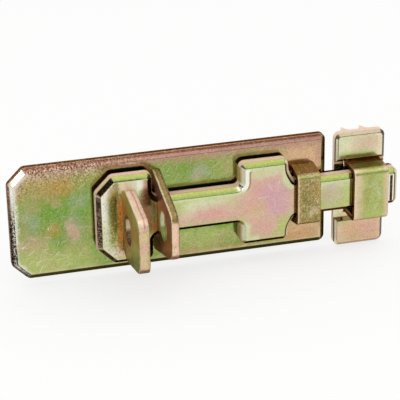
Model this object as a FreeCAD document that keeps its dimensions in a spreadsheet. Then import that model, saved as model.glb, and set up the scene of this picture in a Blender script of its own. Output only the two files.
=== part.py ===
import FreeCAD, Part
import math
import os
import re
import Sketcher

# Padbolt of pressed steel, shut, as it sits on a door.
# X runs along the bolt, which shoots towards +X. Z is up. The front faces -Y, and the plate and
# the keep lie with their backs in the plane Y = 0. The origin is the middle of the plate's back.

# Driving sizes in millimetres. Heights are measured outwards from the back plane or from a face.
SIZES = {
    # radius that the press leaves along each bevel
    "press_radius": 0.6,
    # radius on the long edges of lugs and straps
    "edge_radius": 0.35,
    # base plate, a shallow tray with two cut corners at its left end
    "plate_length": 120.0,
    "plate_width": 44.0,
    "plate_height": 3.5,
    "plate_sheet": 2.0,
    "plate_bevel_wide": 2.0,
    "plate_bevel_high": 1.5,
    "plate_cut_corner": 6.0,
    "plate_face_corner": 0.5,
    "fixing_hole": 4.8,
    "fixing_head": 7.6,
    "fixing_spread": 24.0,
    # sliding bolt, one hollow pressing
    "shut_offset": 30.8,
    "slide_gap": 0.2,
    "bolt_height": 6.2,
    "bolt_sheet": 2.0,
    "bolt_bevel": 1.8,
    "bolt_face_corner": 0.5,
    "octagon_length": 20.9,
    "octagon_width": 34.4,
    "octagon_cut_corner": 6.2,
    "octagon_fillet": 3.0,
    "bar_width": 14.6,
    "cross_length": 18.6,
    "cross_width": 32.6,
    "cross_fillet": 2.0,
    "flare_long": 2.3,
    "flare_wide": 4.2,
    "flare_radius": 7.0,
    "flare_foot_radius": 1.5,
    "flare_gap": 0.2,
    "bolt_reach": 4.9,
    # padlock lugs and the hole through both
    "padlock_hole": 11.0,
    "padlock_height": 18.4,
    "lug_corner": 4.5,
    "bolt_lug_offset": 9.4,
    "bolt_lug_thick": 4.0,
    "bolt_lug_base": 24.0,
    "bolt_lug_foot": 5.0,
    "bolt_lug_neck": 2.0,
    "bolt_lug_top": 20.0,
    "bolt_lug_height": 26.0,
    "bolt_lug_tenon": 6.0,
    "bolt_lug_tenon_spread": 15.0,
    "lug_stop_gap": 1.5,
    "fixed_lug_thick": 3.0,
    "fixed_lug_base": 32.0,
    "fixed_lug_top": 17.0,
    "fixed_lug_height": 27.0,
    "fixed_lug_tenon": 5.0,
    "window_side_gap": 1.0,
    "window_front_gap": 0.7,
    "window_corner": 1.5,
    "tenon_gap": 0.05,
    "tenon_peen": 0.6,
    # guide strap over the bar, near the plate's right end
    "guide_from_end": 4.9,
    "guide_width": 9.0,
    "guide_sheet": 2.0,
    "guide_side_gap": 0.5,
    "guide_front_gap": 0.5,
    "guide_splay": 1.7,
    "guide_bend": 2.6,
    "guide_tenon": 5.0,
    # keep, which takes the end of the bar
    "keep_gap": 3.7,
    "keep_drop": 1.8,
    "keep_strap_rise": 0.8,
    "keep_width": 19.7,
    "keep_length": 46.0,
    "keep_sheet": 2.0,
    "keep_step": 1.5,
    "keep_bevel": 1.2,
    "keep_corner": 2.6,
    "keep_slot_gap": 0.8,
    "keep_step_gap": 0.2,
    "keep_strap_offset": 4.5,
    "keep_strap_margin": 1.6,
    "keep_strap_sheet": 2.0,
    "keep_top_gap": 0.25,
    "keep_front_gap": 0.8,
    "keep_bend": 2.8,
    "keep_leg_inset": 0.2,
    "keep_hole": 3.2,
    "keep_head": 5.6,
    "keep_hole_offset": 3.2,
    "keep_hole_spread": 6.8,
    "claw_length": 3.0,
    "claw_sheet": 1.6,
    "claw_back": 0.9,
    "claw_front": 2.6,
    "claw_tip": 0.5,
    "claw_first": 4.2,
    "claw_second": 11.4,
}

# Sizes that follow from the driving ones.
RULES = {
    "plate_left": "-plate_length / 2",
    "plate_right": "plate_length / 2",
    "plate_half": "plate_width / 2",
    "plate_corner": "plate_bevel_wide + plate_face_corner",
    "plate_hollow": "plate_height - plate_sheet",
    "cut_shift": "sqrt(2) - 1",
    "bolt_back": "plate_height + slide_gap",
    "bolt_face": "bolt_back + bolt_height",
    "bolt_left": "plate_left + shut_offset",
    "bolt_corner": "bolt_bevel + bolt_face_corner",
    "bar_half": "bar_width / 2",
    "octagon_half": "octagon_width / 2",
    "cross_half": "cross_width / 2",
    "cross_right": "guide_left - flare_gap - flare_long - bolt_left",
    "cross_left": "cross_right - cross_length",
    "bolt_end": "keep_left + keep_strap_offset + keep_strap_width + bolt_reach - bolt_left",
    "octagon_middle": "bolt_left + octagon_length / 2",
    "cross_middle": "bolt_left + cross_left + cross_length / 2",
    "bolt_lug_middle": "bolt_left + bolt_lug_offset + bolt_lug_thick / 2",
    "fixed_lug_middle": "bolt_left + octagon_length + lug_stop_gap + fixed_lug_thick / 2",
    "window_half": "bar_half + window_side_gap",
    "window_height": "bolt_face + window_front_gap - plate_height",
    "fixed_lug_leg": "(fixed_lug_base / 2 + window_half) / 2",
    "guide_left": "plate_right - guide_from_end - guide_width",
    "guide_middle": "guide_left + guide_width / 2",
    "guide_inner": "bar_half + guide_side_gap",
    "guide_outer": "guide_inner + guide_sheet",
    "guide_inner_height": "bolt_face + guide_front_gap - plate_height",
    "guide_outer_height": "guide_inner_height + guide_sheet",
    "guide_foot": "guide_outer + guide_splay",
    "keep_left": "plate_right + keep_gap",
    "keep_middle": "keep_left + keep_width / 2",
    "keep_half": "keep_length / 2",
    "keep_height": "keep_sheet + keep_step",
    "keep_strap_inner": "bar_half + keep_drop - keep_strap_rise + keep_top_gap",
    "keep_strap_width": "keep_width - keep_strap_offset - keep_strap_margin",
    "keep_strap_outer": "keep_strap_inner + keep_strap_sheet",
    "keep_strap_middle": "keep_left + keep_strap_offset + keep_strap_width / 2",
    "keep_strap_front": "bolt_face + keep_front_gap + keep_strap_sheet",
    "channel_half": "keep_strap_outer + keep_strap_rise + keep_step_gap",
}

# Two places closer than this are one.
SAME_PLACE = 1e-4

doc = FreeCAD.newDocument("padbolt")
sheet = doc.addObject("Spreadsheet::Sheet", "Sizes")
for row, (name, millimetres) in enumerate(SIZES.items(), start=1):
    sheet.set(f"A{row}", name)
    sheet.set(f"B{row}", str(millimetres))
    sheet.setAlias(f"B{row}", name)
doc.recompute()


def bound(formula):
    """The formula with every size pointed at its cell and every rule written out."""

    def swap(word):
        name = word.group()
        if name in RULES:
            return f"({bound(RULES[name])})"
        return f"Sizes.{name}" if name in SIZES else name

    return re.sub(r"[a-z]\w*", swap, formula)


def number(formula):
    """The formula's value at the present sizes."""
    return float(sheet.evalExpression(bound(formula)))


def bind(target, **formulas):
    """Tie properties of an object to formulas; two underscores stand for a dot."""
    for name, formula in formulas.items():
        target.setExpression(name.replace("__", "."), bound(formula))


def new_body(label, x="0", y="0", z="0"):
    """An empty body whose own origin lies at the given place."""
    body = doc.addObject("PartDesign::Body", label)
    body.Label = label
    bind(body, Placement__Base__x=x, Placement__Base__y=y, Placement__Base__z=z)
    return body


def origin_plane(body, role):
    return next(plane for plane in body.Origin.OriginFeatures if plane.Role == role)


def new_sketch(body, name, role, lift="0"):
    """A sketch on one of the body's origin planes, lifted along its normal."""
    sketch = body.newObject("Sketcher::SketchObject", name)
    sketch.AttachmentSupport = [(origin_plane(body, role), "")]
    sketch.MapMode = "FlatFace"
    bind(sketch, AttachmentOffset__Base__z=lift)
    return sketch


def constrain(sketch, formula, *terms):
    """Add a constraint whose value follows a formula."""
    index = sketch.addConstraint(Sketcher.Constraint(*terms, number(formula)))
    sketch.setExpression(f"Constraints[{index}]", bound(formula))


def pin(sketch, geometry, end, across, up):
    """Fix one point of the sketch at the given place from its origin."""
    constrain(sketch, across, "DistanceX", -1, 1, geometry, end)
    constrain(sketch, up, "DistanceY", -1, 1, geometry, end)


def corner_arc(before, corner, after, radius):
    """Start, end and centre of the arc that rounds a corner between two straight runs."""
    back = (before - corner).normalize()
    ahead = (after - corner).normalize()
    half = back.getAngle(ahead) / 2
    start = corner + back * (radius / math.tan(half))
    finish = corner + ahead * (radius / math.tan(half))
    middle = corner + (back + ahead).normalize() * (radius / math.sin(half))
    return start, finish, middle


def draw_loop(sketch, corners):
    """A closed outline through corners, each (across, up) or (across, up, radius) as formulas."""
    places = [FreeCAD.Vector(number(c[0]), number(c[1]), 0) for c in corners]
    area = sum(a.x * b.y - b.x * a.y for a, b in zip(places, places[1:] + places[:1]))
    if area < 0:
        places.reverse()
        corners = corners[::-1]
    count = len(corners)
    starts, finishes, middles = list(places), list(places), list(places)
    for i in range(count):
        if len(corners[i]) == 3:
            rounded = corner_arc(places[i - 1], places[i], places[(i + 1) % count], number(corners[i][2]))
            starts[i], finishes[i], middles[i] = rounded
    lines = []
    for i in range(count):
        segment = Part.LineSegment(finishes[i], starts[(i + 1) % count])
        lines.append(sketch.addGeometry(segment, False))
    for i in range(count):
        across, up = corners[i][:2]
        if len(corners[i]) == 2:
            sketch.addConstraint(Sketcher.Constraint("Coincident", lines[i - 1], 2, lines[i], 1))
            pin(sketch, lines[i], 1, across, up)
            continue
        radius = corners[i][2]
        turn = (places[i] - places[i - 1]).cross(places[(i + 1) % count] - places[i]).z
        first, last = (starts[i], finishes[i]) if turn > 0 else (finishes[i], starts[i])
        entry, leave = (1, 2) if turn > 0 else (2, 1)
        angles = [math.atan2(p.y - middles[i].y, p.x - middles[i].x) for p in (first, last)]
        if angles[1] < angles[0]:
            angles[1] += 2 * math.pi
        circle = Part.Circle(middles[i], FreeCAD.Vector(0, 0, 1), number(radius))
        arc = sketch.addGeometry(Part.ArcOfCircle(circle, *angles), False)
        sketch.addConstraint(Sketcher.Constraint("Tangent", lines[i - 1], 2, arc, entry))
        sketch.addConstraint(Sketcher.Constraint("Tangent", lines[i], 1, arc, leave))
        constrain(sketch, radius, "Radius", arc)
        point = sketch.addGeometry(Part.Point(places[i]), True)
        sketch.addConstraint(Sketcher.Constraint("PointOnObject", point, 1, lines[i - 1]))
        sketch.addConstraint(Sketcher.Constraint("PointOnObject", point, 1, lines[i]))
        pin(sketch, point, 1, across, up)


def draw_circle(sketch, across, up, diameter):
    place = FreeCAD.Vector(number(across), number(up), 0)
    circle = sketch.addGeometry(Part.Circle(place, FreeCAD.Vector(0, 0, 1), number(diameter) / 2), False)
    constrain(sketch, diameter, "Diameter", circle)
    pin(sketch, circle, 3, across, up)


def rectangle(left, right, low, high, radius=None):
    corners = [(left, low), (right, low), (right, high), (left, high)]
    return [corner + (radius,) for corner in corners] if radius else corners


def mirrored(upper):
    """A loop from its upper half, listed from left to right."""
    return upper + [(c[0], f"-({c[1]})", *c[2:]) for c in reversed(upper)]


def pad(body, sketch, name, length, both_ways=False):
    feature = body.newObject("PartDesign::Pad", name)
    feature.Profile = sketch
    feature.SideType = "Symmetric" if both_ways else "One side"
    bind(feature, Length=length)
    doc.recompute()
    return feature


def pocket(body, sketch, name, length=None, forward=False, both_ways=False):
    """Cut a sketch out of the body; forward cuts along the sketch's normal, no length cuts through."""
    before = body.Shape.Volume
    feature = body.newObject("PartDesign::Pocket", name)
    feature.Profile = sketch
    feature.SideType = "Symmetric" if both_ways else "One side"
    feature.Reversed = forward
    if length:
        bind(feature, Length=length)
    else:
        feature.Type = "ThroughAll"
    doc.recompute()
    if body.Shape.Volume >= before:
        raise RuntimeError(f"{name} cuts nothing out of {body.Label}")
    return feature


def edges_at(shape, height):
    """Names of the edges that lie flat at a height in front of the body's own XZ plane."""
    names = []
    for index, edge in enumerate(shape.Edges, start=1):
        box = edge.BoundBox
        if abs(box.YMin + height) < SAME_PLACE and abs(box.YMax + height) < SAME_PLACE:
            names.append(f"Edge{index}")
    return names


def bevel(body, base, name, height, along_face, along_wall=None):
    """Bevel every edge of the front face that lies at a height."""
    feature = body.newObject("PartDesign::Chamfer", name)
    feature.Base = (base, edges_at(base.Shape, number(height)))
    if along_wall:
        feature.ChamferType = "Two distances"
        bind(feature, Size=along_wall, Size2=along_face)
    else:
        bind(feature, Size=along_face)
    doc.recompute()
    return feature


def soften(body, base, name, radius, *heights):
    """Round the edges that lie flat at the given heights in front of the XZ plane."""
    feature = body.newObject("PartDesign::Fillet", name)
    edges = [edge for height in heights for edge in edges_at(base.Shape, number(height))]
    feature.Base = (base, edges)
    bind(feature, Radius=radius)
    doc.recompute()
    return feature


def round_outline(body, base, name, thickness, foot="0"):
    """Round the long edges of a blanked or bent strip, which lie on its two flat sides."""
    half, reach = number(thickness) / 2, number(foot)
    edges = []
    for index, edge in enumerate(base.Shape.Edges, start=1):
        box = edge.BoundBox
        on_side = box.XLength < SAME_PLACE and abs(abs(box.XMin) - half) < SAME_PLACE
        above_foot = box.YMax < SAME_PLACE - reach and box.YMin < -SAME_PLACE - reach
        if on_side and above_foot:
            edges.append(f"Edge{index}")
    feature = body.newObject("PartDesign::Fillet", name)
    feature.Base = (base, edges)
    bind(feature, Radius="edge_radius")
    doc.recompute()
    return feature


def countersink(body, name, lift, places, hole, head):
    """Countersunk screw holes, sunk from a face at a height in front of the XZ plane."""
    sketch = new_sketch(body, f"{name}_centres", "XZ_Plane", lift)
    for across, up in places:
        draw_circle(sketch, across, up, hole)
    doc.recompute()
    feature = body.newObject("PartDesign::Hole", name)
    feature.Profile = sketch
    feature.DepthType = "ThroughAll"
    feature.HoleCutType = "Countersink"
    feature.HoleCutCustomValues = True
    feature.HoleCutCountersinkAngle = 90
    bind(feature, Diameter=hole, HoleCutDiameter=head)
    doc.recompute()
    return feature


def make_base_plate():
    body = new_body("base_plate")
    outline = new_sketch(body, "plate_outline", "XZ_Plane")
    draw_loop(outline, mirrored([
        ("plate_left", "plate_half - plate_cut_corner", "plate_corner"),
        ("plate_left + plate_cut_corner", "plate_half", "plate_corner"),
        ("plate_right", "plate_half", "plate_corner"),
    ]))
    block = pad(body, outline, "plate_block", "plate_height")
    rim = bevel(body, block, "plate_bevel", "plate_height", "plate_bevel_wide", "plate_bevel_high")
    soften(body, rim, "plate_press_radius", "press_radius", "plate_height", "plate_height - plate_bevel_high")
    hollow = new_sketch(body, "hollow_outline", "XZ_Plane")
    draw_loop(hollow, mirrored([
        ("plate_left + plate_sheet", "plate_half - plate_cut_corner - cut_shift * plate_sheet"),
        ("plate_left + plate_cut_corner + cut_shift * plate_sheet", "plate_half - plate_sheet"),
        ("plate_right - plate_sheet", "plate_half - plate_sheet"),
    ]))
    pocket(body, hollow, "plate_hollow", "plate_hollow", forward=True)
    slots = new_sketch(body, "slots", "XZ_Plane")
    half_lug = "(fixed_lug_thick / 2 + tenon_gap)"
    half_lug_tenon = "(fixed_lug_tenon / 2 + tenon_gap)"
    half_guide = "(guide_tenon / 2 + tenon_gap)"
    for side in ("", "-"):
        draw_loop(slots, rectangle(
            f"fixed_lug_middle - {half_lug}", f"fixed_lug_middle + {half_lug}",
            f"{side}(fixed_lug_leg - {half_lug_tenon})", f"{side}(fixed_lug_leg + {half_lug_tenon})"))
        draw_loop(slots, rectangle(
            f"guide_middle - {half_guide}", f"guide_middle + {half_guide}",
            f"{side}(guide_foot - guide_sheet - tenon_gap)", f"{side}(guide_foot + tenon_gap)"))
    pocket(body, slots, "tenon_slots", forward=True)
    rows = ("fixing_spread / 2", "-fixing_spread / 2")
    places = [(across, up) for across in ("octagon_middle", "cross_middle") for up in rows]
    countersink(body, "fixing_holes", "plate_height", places, "fixing_hole", "fixing_head")
    return body


def make_bolt():
    body = new_body("bolt", "bolt_left", "-bolt_back")
    outline = new_sketch(body, "bolt_outline", "XZ_Plane")
    draw_loop(outline, mirrored([
        ("0", "octagon_half - octagon_cut_corner", "bolt_corner"),
        ("octagon_cut_corner", "octagon_half", "bolt_corner"),
        ("octagon_length", "octagon_half", "bolt_corner"),
        ("octagon_length", "bar_half", "octagon_fillet"),
        ("cross_left", "bar_half", "cross_fillet"),
        ("cross_left", "cross_half", "bolt_corner"),
        ("cross_right", "cross_half", "bolt_corner"),
        ("cross_right", "bar_half + flare_wide", "flare_radius"),
        ("cross_right + flare_long", "bar_half", "flare_foot_radius"),
        ("bolt_end", "bar_half", "bolt_corner"),
    ]))
    block = pad(body, outline, "bolt_block", "bolt_height")
    rim = bevel(body, block, "bolt_bevel", "bolt_height", "bolt_bevel")
    soften(body, rim, "bolt_press_radius", "press_radius", "bolt_height", "bolt_height - bolt_bevel")
    hollow = new_sketch(body, "bolt_hollow_outline", "XZ_Plane")
    draw_loop(hollow, mirrored([
        ("bolt_sheet", "octagon_half - octagon_cut_corner - cut_shift * bolt_sheet"),
        ("octagon_cut_corner + cut_shift * bolt_sheet", "octagon_half - bolt_sheet"),
        ("octagon_length - bolt_sheet", "octagon_half - bolt_sheet"),
        ("octagon_length - bolt_sheet", "bar_half - bolt_sheet"),
        ("cross_left + bolt_sheet", "bar_half - bolt_sheet"),
        ("cross_left + bolt_sheet", "cross_half - bolt_sheet"),
        ("cross_right - bolt_sheet", "cross_half - bolt_sheet"),
        ("cross_right - bolt_sheet", "bar_half - bolt_sheet"),
        ("bolt_end - bolt_sheet", "bar_half - bolt_sheet"),
    ]))
    pocket(body, hollow, "bolt_hollow", "bolt_height - bolt_sheet", forward=True)
    slots = new_sketch(body, "lug_slots", "XZ_Plane")
    middle = "bolt_lug_offset + bolt_lug_thick / 2"
    half_lug = "(bolt_lug_thick / 2 + tenon_gap)"
    half_tenon = "(bolt_lug_tenon / 2 + tenon_gap)"
    for side in ("", "-"):
        draw_loop(slots, rectangle(
            f"{middle} - {half_lug}", f"{middle} + {half_lug}",
            f"{side}(bolt_lug_tenon_spread / 2 - {half_tenon})",
            f"{side}(bolt_lug_tenon_spread / 2 + {half_tenon})"))
    pocket(body, slots, "tenon_slots", forward=True)
    return body


def tenon(middle, width, depth):
    """The three-sided tongue of a lug's foot, from its outer to its inner side."""
    outer, inner = f"{middle} + {width} / 2", f"{middle} - {width} / 2"
    return [("0", outer), (depth, outer), (depth, inner), ("0", inner)]


def make_bolt_lug():
    body = new_body("bolt_lug", "bolt_lug_middle", "-bolt_face")
    outline = new_sketch(body, "bolt_lug_outline", "YZ_Plane")
    draw_loop(outline, mirrored([
        ("-bolt_lug_height", "bolt_lug_top / 2", "lug_corner"),
        ("-bolt_lug_foot", "bolt_lug_base / 2 + bolt_lug_neck", "lug_corner"),
        ("0", "bolt_lug_base / 2"),
    ] + tenon("bolt_lug_tenon_spread / 2", "bolt_lug_tenon", "bolt_sheet + tenon_peen")))
    blank = pad(body, outline, "bolt_lug_blank", "bolt_lug_thick", both_ways=True)
    round_outline(body, blank, "bolt_lug_edges", "bolt_lug_thick")
    hole = new_sketch(body, "bolt_lug_hole", "YZ_Plane")
    draw_circle(hole, "bolt_face - padlock_height", "0", "padlock_hole")
    pocket(body, hole, "padlock_hole", "2 * bolt_lug_thick", both_ways=True)
    return body


def make_fixed_lug():
    body = new_body("fixed_lug", "fixed_lug_middle", "-plate_height")
    outline = new_sketch(body, "fixed_lug_outline", "YZ_Plane")
    draw_loop(outline, mirrored([
        ("-fixed_lug_height", "fixed_lug_top / 2", "lug_corner"),
        ("0", "fixed_lug_base / 2"),
    ] + tenon("fixed_lug_leg", "fixed_lug_tenon", "plate_sheet + tenon_peen") + [
        ("0", "window_half"),
        ("-window_height", "window_half", "window_corner"),
    ]))
    blank = pad(body, outline, "fixed_lug_blank", "fixed_lug_thick", both_ways=True)
    round_outline(body, blank, "fixed_lug_edges", "fixed_lug_thick")
    hole = new_sketch(body, "fixed_lug_hole", "YZ_Plane")
    draw_circle(hole, "plate_height - padlock_height", "0", "padlock_hole")
    pocket(body, hole, "padlock_hole", "2 * fixed_lug_thick", both_ways=True)
    return body


def make_guide_strap():
    body = new_body("guide_strap", "guide_middle", "-plate_height")
    bend = new_sketch(body, "guide_bend", "YZ_Plane")
    outer = [("-guide_outer_height", "guide_outer", "guide_bend"), ("0", "guide_foot")]
    inner = [("0", "guide_foot - guide_sheet"),
             ("-guide_inner_height", "guide_inner", "guide_bend - guide_sheet")]
    draw_loop(bend, mirrored(outer + inner))
    loop = pad(body, bend, "guide_loop", "guide_width", both_ways=True)
    round_outline(body, loop, "guide_edges", "guide_width")
    feet = new_sketch(body, "guide_feet", "YZ_Plane")
    for side in ("", "-"):
        draw_loop(feet, rectangle(
            "-guide_sheet / 4", "plate_sheet + tenon_peen",
            f"{side}(guide_foot - guide_sheet)", f"{side}guide_foot"))
    pad(body, feet, "guide_tenons", "guide_tenon", both_ways=True)
    return body


def make_keep_plate():
    body = new_body("keep_plate", "keep_middle", z="-keep_drop")
    outline = new_sketch(body, "keep_outline", "XZ_Plane")
    draw_loop(outline, rectangle(
        "-keep_width / 2", "keep_width / 2", "-keep_half", "keep_half", "keep_corner"))
    pad(body, outline, "keep_block", "keep_height")
    channel = new_sketch(body, "keep_channel", "XZ_Plane", "keep_height")
    draw_loop(channel, rectangle("-keep_width", "keep_width", "-channel_half", "channel_half"))
    cut = pocket(body, channel, "keep_channel_cut", "keep_step")
    rim = bevel(body, cut, "keep_bevel", "keep_height", "keep_bevel")
    soften(body, rim, "keep_press_radius", "press_radius", "keep_height")
    hollows = new_sketch(body, "keep_hollows", "XZ_Plane")
    for side in ("", "-"):
        draw_loop(hollows, rectangle(
            "keep_sheet - keep_width / 2", "keep_width / 2 - keep_sheet",
            f"{side}(channel_half + keep_sheet)", f"{side}(keep_half - keep_sheet)"))
    pocket(body, hollows, "keep_pillow_hollows", "keep_step", forward=True)
    slots = new_sketch(body, "keep_slots", "XZ_Plane")
    strap_left = "keep_strap_offset - keep_width / 2"
    for side in ("", "-"):
        draw_loop(slots, rectangle(
            f"{strap_left} - keep_slot_gap", f"{strap_left} + keep_strap_width + tenon_gap",
            f"{side}(keep_strap_inner - tenon_gap) + keep_strap_rise",
            f"{side}(keep_strap_outer + tenon_gap) + keep_strap_rise"))
    pocket(body, slots, "keep_strap_slots", forward=True)
    claws = new_sketch(body, "claws", "XY_Plane", "keep_half - claw_sheet")
    for place in ("claw_first", "claw_second"):
        tip = f"{place} - keep_width / 2"
        draw_loop(claws, [
            (f"{tip} - claw_back", "-keep_sheet / 2"),
            (f"{tip} + claw_front", "-keep_sheet / 2"),
            (f"{tip} + claw_front", "0"),
            (f"{tip} + claw_tip + (claw_front - claw_tip) / 4", "claw_length / 3", "claw_length"),
            (f"{tip} + claw_tip", "claw_length"),
            (tip, "claw_length"),
            (f"{tip} - claw_back", "0"),
        ])
    top = pad(body, claws, "top_claws", "claw_sheet")
    both = body.newObject("PartDesign::Mirrored", "bottom_claws")
    both.Originals = [top]
    both.MirrorPlane = (origin_plane(body, "XY_Plane"), [""])
    body.Tip = both
    doc.recompute()
    across = "keep_hole_offset - keep_width / 2"
    places = [(across, "keep_hole_spread / 2"), (across, "-keep_hole_spread / 2")]
    countersink(body, "keep_holes", "keep_sheet", places, "keep_hole", "keep_head")
    return body


def make_keep_strap():
    body = new_body("keep_strap", "keep_strap_middle", z="keep_strap_rise - keep_drop")
    bend = new_sketch(body, "keep_bend", "YZ_Plane")
    inner_front = "-(keep_strap_front - keep_strap_sheet)"
    draw_loop(bend, mirrored([
        ("-keep_strap_front", "keep_strap_outer", "keep_bend"),
        ("-keep_leg_inset", "keep_strap_outer"),
        ("-keep_leg_inset", "keep_strap_inner"),
        (inner_front, "keep_strap_inner", "keep_bend - keep_strap_sheet"),
    ]))
    loop = pad(body, bend, "keep_loop", "keep_strap_width", both_ways=True)
    round_outline(body, loop, "keep_loop_edges", "keep_strap_width", "keep_leg_inset")
    return body


pieces = [
    make_base_plate(),
    make_bolt(),
    make_bolt_lug(),
    make_fixed_lug(),
    make_guide_strap(),
    make_keep_plate(),
    make_keep_strap(),
]
doc.recompute()

for item in doc.Objects:
    if "Invalid" in item.State or "Error" in item.State:
        raise RuntimeError(f"{item.Label} failed: {item.State}")
for piece in pieces:
    if piece.Shape.isNull() or not piece.Shape.isValid() or len(piece.Shape.Solids) != 1:
        raise RuntimeError(f"{piece.Label} is not one sound solid")

os.makedirs("parts", exist_ok=True)
for piece in pieces:
    piece.Shape.exportStep(f"parts/{piece.Label}.step")
    print(piece.Label, round(piece.Shape.Volume, 2), piece.Shape.BoundBox)
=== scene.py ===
import math

import bpy
from mathutils import Matrix, Vector


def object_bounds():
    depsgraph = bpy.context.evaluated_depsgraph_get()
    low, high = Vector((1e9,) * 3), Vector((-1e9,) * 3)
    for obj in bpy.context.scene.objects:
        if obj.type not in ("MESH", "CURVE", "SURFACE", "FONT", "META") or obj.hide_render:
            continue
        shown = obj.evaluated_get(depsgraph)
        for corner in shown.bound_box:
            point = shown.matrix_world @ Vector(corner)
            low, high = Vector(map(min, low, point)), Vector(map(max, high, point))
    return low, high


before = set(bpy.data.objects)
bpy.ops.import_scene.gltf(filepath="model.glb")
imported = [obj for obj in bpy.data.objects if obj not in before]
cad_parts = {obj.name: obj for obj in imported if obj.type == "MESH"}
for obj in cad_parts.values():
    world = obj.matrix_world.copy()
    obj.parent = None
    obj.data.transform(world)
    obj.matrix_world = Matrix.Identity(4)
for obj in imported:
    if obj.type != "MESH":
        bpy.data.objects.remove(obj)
cad_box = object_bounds()

MILLIMETRES = 1000.0

# Tints of yellow-passivated zinc: the greens, golds and pinks of its film, and its bare or dirty places;
# several of them are also laid as painted highlights, painted reflections and painted shade.
GOLD = (0.45, 0.31, 0.10, 1)
OLIVE = (0.24, 0.22, 0.05, 1)
GREEN = (0.17, 0.33, 0.045, 1)
MOSS = (0.31, 0.37, 0.10, 1)
FERN = (0.22, 0.34, 0.07, 1)
CITRON = (0.38, 0.40, 0.11, 1)
LIME = (0.47, 0.54, 0.17, 1)
PALE = (0.68, 0.72, 0.45, 1)
SLATE = (0.38, 0.42, 0.34, 1)
PINK = (0.70, 0.40, 0.34, 1)
LILAC = (0.62, 0.36, 0.44, 1)
ROSE = (0.48, 0.25, 0.20, 1)
CREAM = (0.84, 0.70, 0.46, 1)
BLUSH = (0.86, 0.62, 0.46, 1)
PEACH = (0.70, 0.42, 0.25, 1)
COPPER = (0.42, 0.20, 0.10, 1)
AMBER = (0.52, 0.24, 0.05, 1)
# Used only for a painted reflection of the bolt lug's face on the bolt beside it.
REFLECTED_ORANGE = (0.64, 0.25, 0.03, 1)
MAROON = (0.17, 0.07, 0.04, 1)
# Umber is also the tint of most painted shade and dark painted reflections.
UMBER = (0.05, 0.03, 0.015, 1)
# Bare metal, and also the tint of most painted highlights.
BARE_AND_HIGHLIGHT = (0.92, 0.90, 0.80, 1)
IVORY = (0.84, 0.78, 0.55, 1)
FAWN = (0.48, 0.40, 0.28, 1)
TAN = (0.66, 0.52, 0.28, 1)
KHAKI = (0.38, 0.32, 0.11, 1)

# Tints of the gloss on a face that is seen almost edge on.
PLAIN_GLOSS = (1, 1, 1, 1)
BROWN_GLOSS = (0.35, 0.3, 0.22, 1)
STRAP_GLOSS = (0.4, 0.3, 0.2, 1)
TAN_GLOSS = (0.76, 0.64, 0.38, 1)
RED_GLOSS = (0.95, 0.36, 0.22, 1)

# What each noise adds to its piece's seed.
DRIFT_SEED, STAIN_SEED, CLOUD_SEED, BORDER_SEED, STIR_SEED = 1.0, 2.0, 3.0, 4.0, 5.0
MOTTLE_SEED, GRAIN_SEED, SCUFF_SEED, SHEEN_SEED, SWELL_SEED, RAY_SEED = 20.0, 30.0, 40.0, 50.0, 60.0, 70.0

# Blocks of the pressings in millimetres: left, right, half the height, and the cut of the left corners.
PLATE = (-60, 60, 22, 6)
OCTAGON = (-29.2, -8.3, 17.2, 6.2)
CROSS_PAD = (25.0, 43.6, 16.3)
BAR = (-29.2, 86.7, 7.3)
INNER_CORNER = 2.0
HOLE_OUT = 18.4

# How far a bevel faces the front, and between which values a face turns to the back.
PLATE_BEVEL, PAD_BEVEL = 0.8, 0.707
BACK = (-0.5, -0.3)

# Clouds of film in millimetres, one on the bolt a painted highlight: x, z, half length, half height, tint
# and strength.
PLATE_CLOUDS = (
    (-46, 16, 20, 9, GOLD, 0.8),
    (-41, 13, 7, 4, AMBER, 0.45),
    (-34, 4, 8, 13, GREEN, 0.9),
    (-35, 8, 5, 4, SLATE, 0.35),
    (-36.5, -3, 5, 9, SLATE, 0.3),
    (-37.5, -5, 3, 6, PINK, 0.6),
    (-44.4, -3, 4, 4, AMBER, 0.4),
    (-52, -8, 8, 6, PINK, 0.4),
    (-53, 1, 4, 6, SLATE, 0.4),
    (-46, -17, 24, 9, LIME, 0.9),
    (6, 14, 16, 7, GREEN, 0.8),
    (12, 13, 6, 4, SLATE, 0.6),
    (24, 13, 7, 5, MOSS, 0.6),
    (52, 14, 17, 12, PEACH, 0.9),
    (52, -16, 13, 9, PEACH, 0.9),
    (50, -18, 8, 4, AMBER, 0.35),
    (10, -14, 22, 5, LIME, 0.6),
    (18, -20, 24, 3, GOLD, 0.7))
BOLT_CLOUDS = (
    (-19, -13, 7, 5, PINK, 0.6),
    (12, -3.5, 20, 6, PINK, 1.0),
    (35, 0, 18, 25, PINK, 1.0),
    (38, 1, 9, 9, LILAC, 0.6),
    (31, -2, 5, 6, PEACH, 0.5),
    (33, -10, 5, 4, PINK, 0.6),
    # A painted highlight along the top of the cross pad's face.
    (35, 14, 12, 4, PALE, 0.7),
    (41, -11, 5, 6, LIME, 0.8),
    (60, 2, 6, 8, LILAC, 0.45))
KEEP_CLOUDS = (
    (76, 16, 8, 5, PINK, 0.65),
    (72, 12, 11, 3, LIME, 0.75),
    (74, -19, 16, 11, PEACH, 0.95),
    (77, -18, 6, 5, PINK, 0.7),
    (66.5, -14, 4, 3, LIME, 0.7))


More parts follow.
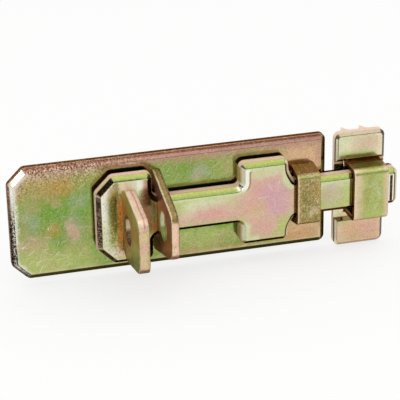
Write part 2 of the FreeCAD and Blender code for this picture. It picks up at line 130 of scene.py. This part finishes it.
class Wire:
    """A shader socket. Sums on it add Math nodes, and node() adds any other node to its tree."""

    def __init__(self, tree, socket=None):
        self.tree = tree
        self.socket = socket

    def node(self, kind, settings, sockets, output=0):
        """A node with its settings, then its sockets by name or number; one output comes back."""
        made = self.tree.nodes.new("ShaderNode" + kind)
        for name, value in settings.items():
            setattr(made, name, value)
        for key, value in sockets.items():
            if isinstance(value, Wire):
                self.tree.links.new(value.socket, made.inputs[key])
            else:
                made.inputs[key].default_value = value
        return Wire(self.tree, made.outputs[output])

    def sum(self, operation, first, second):
        return self.node("Math", {"operation": operation}, {0: first, 1: second})

    def __add__(self, other):
        return self.sum("ADD", self, other)

    def __radd__(self, other):
        return self.sum("ADD", other, self)

    def __sub__(self, other):
        return self.sum("SUBTRACT", self, other)

    def __rsub__(self, other):
        return self.sum("SUBTRACT", other, self)

    def __mul__(self, other):
        return self.sum("MULTIPLY", self, other)

    def __rmul__(self, other):
        return self.sum("MULTIPLY", other, self)

    def __truediv__(self, other):
        return self.sum("DIVIDE", self, other)

    def __pow__(self, other):
        return self.sum("POWER", self, other)


def rise(value, low, high):
    """Smoothly from 0 at low to 1 at high."""
    return value.node("MapRange", {"interpolation_type": "SMOOTHSTEP"}, {0: value, 1: low, 2: high})


def band(value, low, full, fall, end):
    """1 between full and fall, and 0 outside low and end."""
    return rise(value, low, full) * (1 - rise(value, fall, end))


def mix(factor, first, second):
    return factor.node("Mix", {"data_type": "RGBA"}, {0: factor, 6: first, 7: second}, 2)


def least(first, second):
    return first.sum("MINIMUM", first, second)


def most(first, second):
    return first.sum("MAXIMUM", first, second)


def joined(first, second, radius):
    """The inset of two blocks run together, with their inner corners rounded."""
    one = most(first + radius, 0.0)
    two = most(second + radius, 0.0)
    return (one * one + two * two) ** 0.5 - radius


def noise(place, scale, detail=2.0, seed=0.0, roughness=0.55):
    return place.node("TexNoise", {"noise_dimensions": "4D"}, {
        "Vector": place, "W": seed, "Scale": scale, "Detail": detail, "Roughness": roughness})


def stretched(place, turn, long, wide):
    """The place turned about Y and scaled, so that a noise on it gives marks of that length and width."""
    turned = place.node("Mapping", {"vector_type": "POINT"}, {
        "Vector": place, "Rotation": (0, math.radians(turn), 0)})
    return turned.node("Mapping", {"vector_type": "POINT"}, {
        "Vector": turned, "Scale": (1 / long, 1 / wide, 1 / wide)})


def empty_material(name):
    material = bpy.data.materials.new(name)
    material.use_nodes = True
    material.node_tree.nodes.clear()
    return material


def show(tree, shader):
    output = tree.nodes.new("ShaderNodeOutputMaterial")
    tree.links.new(shader.socket, output.inputs["Surface"])


class Plating:
    """Yellow zinc on one pressed piece: tints are laid over each other, then finished as metal."""

    def __init__(self, name, ground, seed):
        self.material = empty_material(name)
        self.tree = self.material.node_tree
        self.seed = seed
        self.start = Wire(self.tree)
        coordinates = self.start.node("TexCoord", {}, {}, "Object")
        self.place = self.start.node("VectorMath", {"operation": "SCALE"}, {
            0: coordinates, "Scale": MILLIMETRES})
        normal = self.start.node("TexCoord", {}, {}, "Normal")
        self.x, self.y, self.z = (self.start.node("SeparateXYZ", {}, {0: self.place}, i) for i in range(3))
        self.nx, self.ny, self.nz = (self.start.node("SeparateXYZ", {}, {0: normal}, i) for i in range(3))
        self.front = 0 - self.ny
        self.stir_x = self.stir(seed)
        self.stir_z = self.stir(seed + STIR_SEED)
        self.grain = noise(self.place, 1.8, 2.0, seed + GRAIN_SEED, 0.8)
        self.scuffs = 0.0
        self.dull = None
        drift = rise(noise(self.place, 0.07, 3.0, seed + DRIFT_SEED), 0.38, 0.62)
        self.tint = mix(drift, ground[0], ground[1])

    def stir(self, seed):
        """How far the edge of a cloud wanders, in millimetres."""
        return (noise(self.place, 0.16, 3.0, seed) - 0.5) * 9.0

    def lay(self, mask, tint):
        self.tint = mix(mask, self.tint, tint)

    def patch(self, x, z, long, high, tint, strength):
        """A cloud of another tint round a place, with a ragged edge."""
        across = (self.x + self.stir_x - x) / long
        up = (self.z + self.stir_z - z) / high
        reach = (across * across + up * up) ** 0.5
        self.lay((1 - rise(reach, 0.25, 1.15)) * strength, tint)

    def mottle(self, size, tints, strength):
        """Small drifting patches of the film's other tints."""
        for number, tint in enumerate(tints):
            cloud = noise(self.place, 1 / size, 4.0, self.seed + MOTTLE_SEED + number, 0.6)
            self.lay(rise(cloud, 0.5, 0.72) * strength, tint)

    def inset(self, left, right, half, cut=0.0):
        """How far inside an upright block a place lies, in millimetres; its left corners may be cut."""
        up = half - self.start.node("Math", {"operation": "ABSOLUTE"}, {0: self.z})
        inner = least(least(self.x - left, right - self.x), up)
        if not cut:
            return inner
        return least(inner, (self.x - (left + cut) + up) * math.sqrt(0.5))

    def wall(self):
        """1 on the upright walls, which face neither front nor back."""
        return band(self.front, *BACK, 0.05, 0.2)

    def flat(self):
        """1 on the flat faces at the front."""
        return rise(self.front, 0.9, 0.98)

    def facing(self):
        """How far a place faces up, left and right."""
        return rise(self.nz, 0.1, 0.4), rise(0 - self.nx, 0.2, 0.5), rise(self.nx, 0.2, 0.5)

    def speckle(self, amount):
        """Fine light and dark grain of the plating."""
        self.lay(rise(self.grain, 0.5, 0.66) * amount, CREAM)
        self.lay((1 - rise(self.grain, 0.34, 0.5)) * amount, UMBER)

    def scratch(self, turns, amount):
        """Fine scuffs in a few directions, each a little bent."""
        long, wide = 7.0, 0.26
        bend = self.start.node("CombineXYZ", {}, {0: self.stir_x * 0.5, 1: 0.0, 2: self.stir_z * 0.5})
        bent = self.start.node("VectorMath", {"operation": "ADD"}, {0: self.place, 1: bend})
        for number, turn in enumerate(turns):
            marks = noise(stretched(bent, turn, long, wide), 1.0, 1.0, self.seed + SCUFF_SEED + number)
            self.scuffs = self.scuffs + rise(marks, 0.66, 0.76)
        self.lay(self.scuffs * amount, BARE_AND_HIGHLIGHT)

    def star(self, x, z, reach, amount):
        """Fine scuffs that run out from one place, as where something was pressed on and turned."""
        across = self.x - x
        up = self.z - z
        turn = self.start.node("Math", {"operation": "ARCTAN2"}, {0: up, 1: across})
        far = (across * across + up * up) ** 0.5
        ray = self.start.node("CombineXYZ", {}, {0: turn * 7.0, 1: far * 0.12, 2: self.seed})
        rays = rise(noise(ray, 1.0, 2.0, self.seed + RAY_SEED), 0.58, 0.68)
        marks = rays * (1 - rise(far, reach * 0.5, reach))
        self.lay(marks * self.front * amount, BARE_AND_HIGHLIGHT)

    def finish(self, rough, gloss=PLAIN_GLOSS):
        """Metal with the laid tints, duller and rougher where the dull mask is set: blanked or gritty
        places, and walls and painted highlights and reflections whose tints should show.
        """
        swell_height, grain_height, scuff_height = 0.5, 0.035, 0.01
        sheen = noise(self.place, 0.35, 3.0, self.seed + SHEEN_SEED)
        roughness = rough + (sheen - 0.5) * 0.16 + (self.grain - 0.5) * 0.1
        metallic = 1.0
        if self.dull:
            roughness = roughness + self.dull * 0.35
            metallic = 1 - self.dull * 0.85
        swell = noise(self.place, 0.14, 1.0, self.seed + SWELL_SEED)
        height = swell * swell_height + self.grain * grain_height + self.scuffs * scuff_height
        bump = self.start.node("Bump", {}, {"Height": height, "Strength": 0.6, "Distance": 0.0004})
        metal = self.start.node("BsdfPrincipled", {}, {
            "Base Color": self.tint, "Metallic": metallic, "Roughness": roughness, "Normal": bump,
            "Specular Tint": gloss})
        show(self.tree, metal)
        return self.material


def bevel_edges(plating, slope, sides, crease, sharp):
    """Tint the bevel by the way it faces, partly as painted highlights and shade, and paint a dark line of
    shade along its crease at the face; the lip over the wall comes back.
    """
    front = plating.front
    clear = 1 - slope
    bevel = band(front, *BACK, slope + 0.15 * clear, slope + 0.5 * clear)
    for tint, facing in sides:
        plating.lay(bevel * facing, tint)
    edge = band(front, slope + 0.1 * clear, slope + 0.4 * clear, slope + 0.6 * clear, slope + 0.9 * clear)
    plating.lay(edge * sharp, crease)
    return band(front, 0.1, 0.25, slope - 0.2, slope - 0.05)


def plate_zinc():
    """The tray: green and gold film, a worn rose top edge, a left edge worn bare in part and painted
    highlight in part with dark grit low down, and painted dark outer edges.
    """
    plating = Plating("plate_zinc", (GREEN, MOSS), 1.0)
    for cloud in PLATE_CLOUDS:
        plating.patch(*cloud)
    plating.mottle(7.0, (GREEN, PINK, GOLD), 0.3)
    plating.mottle(1.6, (LIME, ROSE), 0.25)
    inset = plating.inset(*PLATE)
    ragged = inset + (plating.grain - 0.5) * 6.0 + plating.stir_x * 0.25
    up, left, right = plating.facing()
    top = rise(plating.z, 8, 14)
    bottom = 1 - rise(plating.z, -18, -14)
    lefter = 1 - rise(plating.x, -40, 0)
    left_end = 1 - rise(plating.x, -55, -50)
    worn = (1 - rise(ragged, 2.0, 7.0)) * top * lefter
    plating.lay((1 - rise(ragged, 2.5, 6.0)) * top * 0.7, ROSE)
    plating.lay(worn * rise(plating.grain, 0.42, 0.55) * 0.35, CREAM)
    plating.lay(worn * (1 - rise(plating.grain, 0.4, 0.5)) * 0.6, MAROON)
    # Light lines just inside the left and bottom edges: partly worn metal, partly painted highlight.
    plating.lay((1 - rise(ragged, 2.0, 3.4)) * left_end * 0.8, BARE_AND_HIGHLIGHT)
    plating.lay((1 - rise(ragged, 2.0, 3.2)) * bottom * 0.5, CREAM)
    outer = 1 - rise(inset, 0.6, 1.2)
    gritty = rise(plating.grain, 0.46, 0.56)
    # Bevel tints by facing: film tints, a painted highlight on the left bevels, painted shade on the outer
    # left and right edges, and a painted dark crease line.
    lip = bevel_edges(plating, PLATE_BEVEL, (
        (OLIVE, 1 - up), (ROSE, up), (MAROON, up * lefter * (1 - gritty)), (MAROON, up * outer),
        (BARE_AND_HIGHLIGHT, left), (MAROON, left * outer * (1 - up)), (PINK, left * outer * up * 0.7),
        (OLIVE, right), (UMBER, right * (1 - rise(inset, 1.0, 1.9)))), MAROON, 0.25)
    low = (1 - rise(plating.z, 3, 14)) * left * (1 - plating.flat())
    plating.lay(low * (1 - gritty) * 0.75, UMBER)
    wall = plating.wall()
    plating.lay(lip, COPPER)
    plating.lay(wall, MAROON)
    # Painted shade: the left outer edge and wall darker.
    plating.lay(most(lip, wall) * left * (1 - up) * 0.8, UMBER)
    plating.dull = low * gritty * 0.5
    plating.speckle(0.2 + (1 - rise(inset, 4, 14)) * top * lefter * 0.3)
    lower_left = (1 - rise(plating.x, -52, -30)) * (1 - rise(plating.z, -12, 6))
    plating.scratch((4, -24, 63, 41), 0.3 + lower_left * 0.35)
    return plating.finish(0.13, BROWN_GLOSS)


def bolt_zinc():
    """The bolt: pale and pink faces, green upper bevels, lower walls painted dark as shade, painted
    highlights along its edges, and painted reflections by and between its lugs.
    """
    plating = Plating("bolt_zinc", (PALE, LIME), 2.0)
    for cloud in BOLT_CLOUDS:
        plating.patch(*cloud)
    plating.mottle(6.0, (LIME, PINK, PALE), 0.3)
    plating.mottle(1.6, (LIME, PINK), 0.2)
    octagon = plating.inset(*OCTAGON)
    pads = most(octagon, plating.inset(*CROSS_PAD))
    inset = joined(pads, plating.inset(*BAR), INNER_CORNER)
    ragged = inset + plating.stir_x * 0.3
    high = rise(plating.z, -4, 6)
    # Painted highlights: lime and pale bands on the face along its edges, the pale one stronger higher up.
    plating.lay((1 - rise(ragged, 2.0, 4.2)) * 0.45, LIME)
    plating.lay((1 - rise(ragged, 2.2, 3.6)) * high * 0.7, PALE)

    stirred_x = plating.x + plating.stir_x * 0.3
    stirred_z = plating.z + plating.stir_z * 0.5
    # Beside the bolt lug: a dark olive band of painted shade and reflection, and an orange strip, a painted
    # reflection of the lug's face.
    beside_lug = band(plating.z + plating.stir_z * 0.4, -13, -7, 6, 12)
    plating.lay(band(stirred_x, -26.5, -24, -22.5, -21.5) * beside_lug * 0.85, OLIVE)
    strip = band(plating.x + plating.stir_x * 0.15, -22.3, -21.0, -20.2, -19.5) * beside_lug
    plating.lay(strip, REFLECTED_ORANGE)
    # A painted highlight: a white band along the top of the octagon's face.
    plating.lay(rise(octagon, 1.8, 2.2) * band(plating.z, 10.5, 13, 15.2, 15.4) * 0.7, BARE_AND_HIGHLIGHT)
    # Painted reflections of the lugs on the face between them: olive, maroon and copper.
    between_lugs = band(stirred_x, -15.5, -13.5, -9.5, -8.5) * band(stirred_z, -10, -5, 7, 12)
    plating.lay(between_lugs * 0.9, OLIVE)
    reflection_band = band(stirred_x, -14, -12, -9.5, -8.5)
    plating.lay(reflection_band * band(stirred_z, 3, 6, 10, 13) * 0.8, MAROON)
    copper_reflection = reflection_band * band(plating.z + plating.stir_z * 0.3, -3, -1, 3.5, 5.5)
    plating.lay(copper_reflection * 0.9, COPPER)
    flat = plating.flat()
    foot = band(plating.x, -21.5, -20.5, -15, -13.5) * band(plating.z, 10, 12, 15.2, 15.4) * flat
    plating.lay(foot * 0.8, IVORY)
    # A painted highlight along the left of the octagon's face, stronger higher up.
    rim = least(plating.x - OCTAGON[0], octagon) + (plating.grain - 0.5) * 3.0
    rim_highlight = (1 - rise(rim, 3.0, 5.5)) * (1 - rise(plating.x, -24, -20))
    plating.lay(rim_highlight * (0.45 + high * 0.5), BARE_AND_HIGHLIGHT)
    # The bar's end: a painted highlight, with a painted dark line across it.
    plating.lay(rise(plating.x, 82, 82.5), BARE_AND_HIGHLIGHT)
    end_shade_line = band(plating.x, 83.1, 83.4, 84.2, 84.5) * band(plating.z, -6.4, -5.2, 4.6, 5.6)
    plating.lay(end_shade_line, UMBER)

    up, left, right = plating.facing()
    down = rise(0 - plating.nz, 0.2, 0.5)
    inner = 1 - rise(plating.y, -9.6, -8.8)
    pad = 1 - rise(plating.x, 0, 10)
    # Bevel tints by facing: green on top, painted highlights on the left bevels and outer right lips, and
    # painted shade on right, downward and upper-left bevels and the creases.
    lip = bevel_edges(plating, PAD_BEVEL, (
        (COPPER, 1 - up), (CITRON, up), (FERN, up * inner), (BARE_AND_HIGHLIGHT, left * (1 - down)),
        (COPPER, left * (1 - down) * pad * 0.8), (UMBER, left * up * 0.8), (MAROON, down),
        (UMBER, right), (CREAM, right * (1 - inner) * (1 - pad))), OLIVE, 1.0)
    # A painted dark line of shade along the crease of the octagon's top bevel.
    crease = up * (1 - rise(plating.y, -9.75, -9.35)) * (1 - rise(plating.front, 0.85, 0.97))
    plating.lay(crease * band(plating.x, -24, -22, -13, -11) * 0.85, UMBER)
    arm = rise(plating.x, 23, 24.8) * (1 - rise(plating.x, 31, 33)) * rise(plating.front, 0.6, 0.7)
    upper_arm = arm * rise(plating.z, 5, 7) * (1 - rise(plating.z, 13.8, 14.4))
    lower_arm = arm * (1 - rise(plating.z, -8, -6))
    # On the pad's arms: a painted highlight strip on the upper arm, a painted dark line inside it, and a
    # painted pale border on the lower arm.
    plating.lay(upper_arm * (1 - rise(inset, 3.0, 3.3)) * (1 - rise(plating.x, 28.2, 28.6)), BARE_AND_HIGHLIGHT)
    arm_line = upper_arm * band(inset, 3.0, 3.3, 3.6, 4.0) * (1 - rise(plating.x, 28.8, 29.4))
    plating.lay(arm_line * 0.8, OLIVE)
    plating.lay(lower_arm * band(inset, 1.5, 1.8, 2.4, 4.5) * 0.8, PALE)

    # Painted shade on the lower walls, peach upper walls, and a painted highlight along the lip over them.
    wall = plating.wall()
    raised = wall * (1 - rise(plating.y - rise(plating.x, -8, -2) * 0.3, -5.8, -5.2))
    plating.lay(wall, UMBER)
    plating.lay(raised, BLUSH)
    plating.lay(lip, CREAM)
    plating.lay(lip * up * 0.7, GOLD)
    off_front = 1 - rise(plating.front, 0.8, 0.9)
    sloped = left * (1 - up) * off_front
    specks = rise(plating.grain, 0.46, 0.62) * sloped * (1 - rise(plating.z, -2, 10)) * 0.4
    # Painted highlights on the pad's left bevels; these and the outer right lips are dulled so that their
    # tints show.
    pad_edge = sloped * rise(plating.x, 10, 20)
    far_edge = right * (1 - inner) * (1 - pad) * off_front
    plating.lay(pad_edge * 0.45, CITRON)
    plating.lay(pad_edge * rise(plating.y, -8.9, -8.4) * 0.8, GOLD)
    edges = most(pad_edge, far_edge) * 0.8
    # The painted reflections beside and between the lugs, and the ivory mark by the lug, are dulled so that
    # their tints show.
    stains_and_reflections = most(most(strip, copper_reflection), foot) * 0.6
    plating.dull = most(most(raised, lip * 0.8), most(specks, most(edges, stains_and_reflections)))
    plating.speckle(0.16 + band(plating.x, -28, -26, -21, -19) * flat * 0.35)
    plating.scratch((0, 34, -52), 0.35)
    plating.star(38, 2.8, 9, 0.35)
    return plating.finish(0.15, BROWN_GLOSS)


def lug_zinc(name, middle, half, face, stains_and_reflections, rims, slants, hole, glint_top, gloss, seed):
    """A blanked lug: bright rims with painted dark borders and painted edge highlights, a face that is
    darker round the padlock hole, and painted shade and a painted glint in the hole.
    """
    plating = Plating(name, face, seed)
    plating.mottle(6.0, stains_and_reflections, 0.5)
    plating.mottle(1.8, (OLIVE, COPPER), 0.3)
    tip, foot = stains_and_reflections[:2]
    out = plating.y + HOLE_OUT
    reach = (out * out + plating.z * plating.z) ** 0.5 + plating.stir_z * 0.15
    plating.lay(rise(reach, 7.5, 11) * rise(plating.y, -16, -12) * 0.7, foot)
    plating.lay(rise(reach, 8, 12) * (1 - rise(plating.z, -8, -2)) * rise(plating.y, -18, -12) * 0.8, UMBER)
    plating.lay(band(reach, 5.6, 6.3, 7.2, 9.0) * rise(plating.y, -22, -15) * 0.8, MAROON)
    # A painted highlight: a gold ring round the hole's edge.
    plating.lay(band(reach, 5.3, 5.5, 6.2, 6.8) * 0.8, GOLD)
    plating.lay((1 - rise(plating.y, -29, -25)) * 0.6, tip)
    plating.lay(rise(reach, 6.4, 7.2) * band(plating.z + plating.stir_z * 0.5, -1, 1, 6, 9) * 0.7, foot)
    # Painted light: the faces turned to the right are made pale.
    plating.lay(rise(plating.nx, 0.5, 0.9) * 0.7, PALE)

    rim = 1 - rise(plating.nx * plating.nx, 0.02, 0.35)
    cloud = noise(plating.place, 0.4, 4.0, seed + CLOUD_SEED)
    depth = (plating.x - middle) / half
    across = depth + (noise(plating.place, 0.5, 3.0, seed + BORDER_SEED) - 0.5) * 0.7
    plating.lay(rim, rims[0])
    plating.lay(rim * rise(cloud, 0.45, 0.62) * 0.7, rims[1])
    plating.lay(rim * rise(across, 0.3, 0.8) * 0.4, GOLD)
    slant = rim * rise(plating.nz, 0.15, 0.35)
    plating.lay(slant, slants[0])
    plating.lay(slant * rise(across, 0.3, 0.7) * 0.7, slants[1])
    plating.lay(slant * band(across, -0.1, 0.1, 0.25, 0.45) * 0.7, COPPER)
    # A painted highlight along the slant's left border.
    plating.lay(slant * (1 - rise(across, -0.75, -0.45)) * 0.8, CREAM)
    # Painted shade: dark borders along the rims and a dark line on the rounded front edges; a painted
    # highlight along the rounded edges; the rims facing down darker.
    border = rise(across * across, 0.7, 0.95)
    plating.lay(rim * border * rise(cloud, 0.38, 0.48) * 0.8, MAROON)
    edge = band(plating.nx * plating.nx, 0.03, 0.2, 0.6, 0.95)
    plating.lay(edge * 0.6, CREAM)
    plating.lay(edge * rise(plating.front, 0.4, 0.6) * 0.7, UMBER)
    plating.lay(rim * rise(0 - plating.nz, 0.2, 0.5), MAROON)

    # In the hole: the bore's tints, painted shade of the recess, and a painted glint.
    near, light, far = hole
    bore = 1 - rise(reach, 5.6, 5.9)
    glint = band(plating.z + plating.stir_z * 0.2, -3, -1.5, glint_top, glint_top + 2)
    plating.lay(bore, near)
    plating.lay(bore * rise(depth, -0.3, 0), far)
    plating.lay(bore * band(depth, -0.9, -0.6, 0, 0.3) * glint, light)
    plating.dull = most(most(rim * 0.45, bore * 0.6), rise(0 - plating.nx, 0.5, 0.9) * 0.3)
    plating.speckle(0.3)
    plating.scratch((12, -41), 0.3)
    return plating.finish(0.2, gloss)


def strap_zinc(name, left, right, ground, accents, border, margin, grain, rough, seed):
    """A bent strap: speckled front, browner top, painted highlights over the bend and along the front's
    left edge, painted shade on its sides, and tinted borders.
    """
    plating = Plating(name, ground, seed)
    plating.mottle(5.0, accents, 0.5)
    plating.mottle(1.4, accents, 0.35)
    edge = least(plating.x - left, (right - plating.x) * 1.6) + plating.stir_x * 0.35
    plating.lay((1 - rise(edge, 0.4, margin)) * 0.75, border)
    stain = rise(noise(plating.place, 0.4, 3.0, seed + STAIN_SEED), 0.4, 0.6)
    plating.lay(rise(plating.nz, 0.5, 0.9) * 0.25, OLIVE)
    plating.lay(rise(plating.nz, 0.8, 0.95) * stain * 0.7, COPPER)
    # A painted highlight over the bend.
    plating.lay(band(plating.nz, 0.1, 0.3, 0.6, 0.85) * 0.6, LIME)
    # A painted highlight along the front's left edge, and painted shade on the sides.
    left_line = (1 - rise(plating.x - left, 0.5, 0.9)) * rise(plating.front, 0.5, 0.8)
    plating.lay(left_line * 0.6, CREAM)
    plating.lay(rise(plating.nx * plating.nx, 0.3, 0.9) * 0.9, MAROON)
    plating.speckle(grain)
    plating.scratch((5, 80), 0.3)
    return plating.finish(rough, STRAP_GLOSS)


def keep_zinc():
    """The keep: pale upper pillow, peach lower one, painted dark lines along the bevels and lip, painted
    highlights on the left bevels, and light walls.
    """
    plating = Plating("keep_zinc", (IVORY, PALE), 6.0)
    for cloud in KEEP_CLOUDS:
        plating.patch(*cloud)
    plating.mottle(6.0, (LIME, PINK, PALE), 0.3)
    plating.mottle(1.6, (LIME, PINK), 0.2)
    up, left, right = plating.facing()
    # Painted dark lines on the left bevels: at the outer and inner edges and at the top end.
    outer_line = 1 - rise(plating.x, 63.95, 64.15)
    inner_line = rise(plating.x, 64.6, 64.75) * rise(plating.z, -2, 2)
    top_end = rise(plating.z, 18.8, 19.4)
    left_lines = left * most(most(outer_line, inner_line), top_end)
    # Bevel tints by facing: painted highlights on the left bevels and painted shade on the right ones.
    lip = bevel_edges(plating, PAD_BEVEL, (
        (COPPER, 1 - up), (FAWN, up), (IVORY, left), (UMBER, left_lines), (UMBER, right)), UMBER, 0.7)
    wall = plating.wall()
    # A painted dark line along the lip.
    plating.lay(lip, UMBER)
    plating.lay(wall, BLUSH)
    plating.dull = most(wall * 0.8, left * (1 - rise(plating.front, 0.75, 0.85)) * 0.8)
    plating.speckle(0.2)
    plating.scratch((15, -35), 0.3)
    return plating.finish(0.17)


def dress(node, material):
    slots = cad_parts[node].data.materials
    slots.clear()
    slots.append(material)


def put_card(name, corners, material):
    """A card of four corners, linked to the scene."""
    mesh = bpy.data.meshes.new(name)
    mesh.from_pydata(corners, [], [(0, 1, 2, 3)])
    mesh.materials.append(material)
    card = bpy.data.objects.new(name, mesh)
    bpy.context.scene.collection.objects.link(card)
    return card


def level_corners(height, left, right, near, far):
    return [(left, near, height), (right, near, height), (right, far, height), (left, far, height)]


def lay_floor():
    """A plain pale floor under the keep's lower edge, lightened where it is seen, with its shadow kept."""
    half, gap, lightened = 3.0, 0.0002, 0.7
    material = empty_material("floor_white")
    start = Wire(material.node_tree)
    seen = start.node("LightPath", {}, {}, "Is Camera Ray")
    seen = seen + start.node("LightPath", {}, {}, "Is Glossy Ray")
    seen = seen + start.node("LightPath", {}, {}, "Is Transmission Ray")
    matt = start.node("BsdfDiffuse", {}, {"Color": (0.92, 0.92, 0.91, 1)})
    glow = start.node("Emission", {}, {"Color": (1, 1, 1, 1), "Strength": 1.0})
    shown = start.node("MixShader", {}, {0: seen * lightened, 1: matt, 2: glow})
    show(material.node_tree, shown)
    floor = put_card("floor", level_corners(cad_box[0][2] - gap, -half, half, -half, half), material)


def hang_flag(name, corners, shade=0.04):
    """A dark card that only the metal mirrors, as a studio puts one to draw its edges."""
    material = empty_material(name)
    matt = Wire(material.node_tree).node("BsdfDiffuse", {}, {"Color": (shade, shade, shade, 1)})
    show(material.node_tree, matt)
    flag = put_card(name, corners, material)
    for ray in ("camera", "diffuse", "shadow", "transmission", "volume_scatter"):
        setattr(flag, f"visible_{ray}", False)


def softbox(name, place, width, height, watts):
    """A soft lamp that is aimed at the origin."""
    data = bpy.data.lights.new(name, "AREA")
    data.shape = "RECTANGLE"
    data.size, data.size_y = width, height
    data.energy = watts
    lamp = bpy.data.objects.new(name, data)
    lamp.location = place
    lamp.rotation_euler = (-Vector(place)).to_track_quat("-Z", "Y").to_euler()
    bpy.context.scene.collection.objects.link(lamp)


def light_studio():
    """Two soft lamps, a white room and four flags, two of them on the floor."""
    softbox("overhead_softbox", (0.1, -0.25, 0.9), width=1.2, height=0.8, watts=1.6)
    softbox("left_softbox", (-0.6, -0.68, 0.43), width=0.35, height=0.35, watts=1.0)
    hang_flag("front_flag", [
        (-0.6, -1.3, 0.42), (1.4, -1.3, 0.42), (1.4, -1.2, 0.72), (-0.6, -1.2, 0.72)])
    hang_flag("side_flag", [
        (-0.55, -0.42, 0.2), (-0.75, -0.1, 0.2), (-0.6, -0.08, 0.75), (-0.42, -0.36, 0.75)])
    floor_level = cad_box[0][2]
    hang_flag("left_flag", level_corners(
        floor_level, left=-0.115, right=-0.058, near=-0.034, far=-0.005))
    hang_flag("under_flag", level_corners(
        floor_level, left=-0.06, right=0.06, near=-0.010, far=0.04), shade=0.3)
    world = bpy.data.worlds.new("studio")
    bpy.context.scene.world = world
    world.use_nodes = True
    background = world.node_tree.nodes["Background"]
    background.inputs["Color"].default_value = (1.0, 1.0, 1.0, 1)
    background.inputs["Strength"].default_value = 0.9


def set_camera():
    """The photograph's view: from the left and above, with a slight roll."""
    azimuth, elevation, roll = math.radians(-14.8), math.radians(23.9), math.radians(1.0)
    aim, distance = Vector((0.0119, 0, 0)), 0.6196
    back = Vector((math.sin(azimuth) * math.cos(elevation),
                   -math.cos(azimuth) * math.cos(elevation), math.sin(elevation)))
    right = Vector((math.cos(azimuth), math.sin(azimuth), 0))
    up = back.cross(right)
    across = right * math.cos(roll) - up * math.sin(roll)
    upward = right * math.sin(roll) + up * math.cos(roll)
    data = bpy.data.cameras.new("camera")
    data.lens, data.sensor_width, data.clip_start = 150, 36, 0.01
    camera = bpy.data.objects.new("camera", data)
    camera.matrix_world = (Matrix.Translation(aim + back * distance)
                           @ Matrix((across, upward, back)).transposed().to_4x4())
    bpy.context.scene.collection.objects.link(camera)
    bpy.context.scene.camera = camera


set_camera()
lay_floor()
light_studio()
dress("base_plate", plate_zinc())
dress("bolt", bolt_zinc())
dress("bolt_lug", lug_zinc(
    "bolt_lug_zinc", middle=-17.8, half=2.0, face=(KHAKI, MOSS), stains_and_reflections=(LIME, AMBER, OLIVE),
    rims=(TAN, PINK), slants=(BLUSH, PINK), hole=(MAROON, CREAM, OLIVE), glint_top=1.0,
    gloss=TAN_GLOSS, seed=3.0))
dress("fixed_lug", lug_zinc(
    "fixed_lug_zinc", middle=-5.3, half=1.5, face=(COPPER, ROSE), stains_and_reflections=(GOLD, ROSE, MAROON),
    rims=(BLUSH, PEACH), slants=(OLIVE, UMBER), hole=(FERN, IVORY, OLIVE), glint_top=4.0,
    gloss=RED_GLOSS, seed=4.0))
dress("guide_strap", strap_zinc(
    "guide_zinc", left=46.1, right=55.1, ground=(GOLD, OLIVE), accents=(COPPER, CREAM),
    border=GOLD, margin=2.6, grain=0.5, rough=0.36, seed=5.0))
dress("keep_plate", keep_zinc())
dress("keep_strap", strap_zinc(
    "keep_strap_zinc", left=68.2, right=81.8, ground=(LIME, CITRON), accents=(PALE, GREEN),
    border=BLUSH, margin=5.0, grain=0.2, rough=0.32, seed=7.0))

bpy.context.scene.view_settings.view_transform = "Standard"
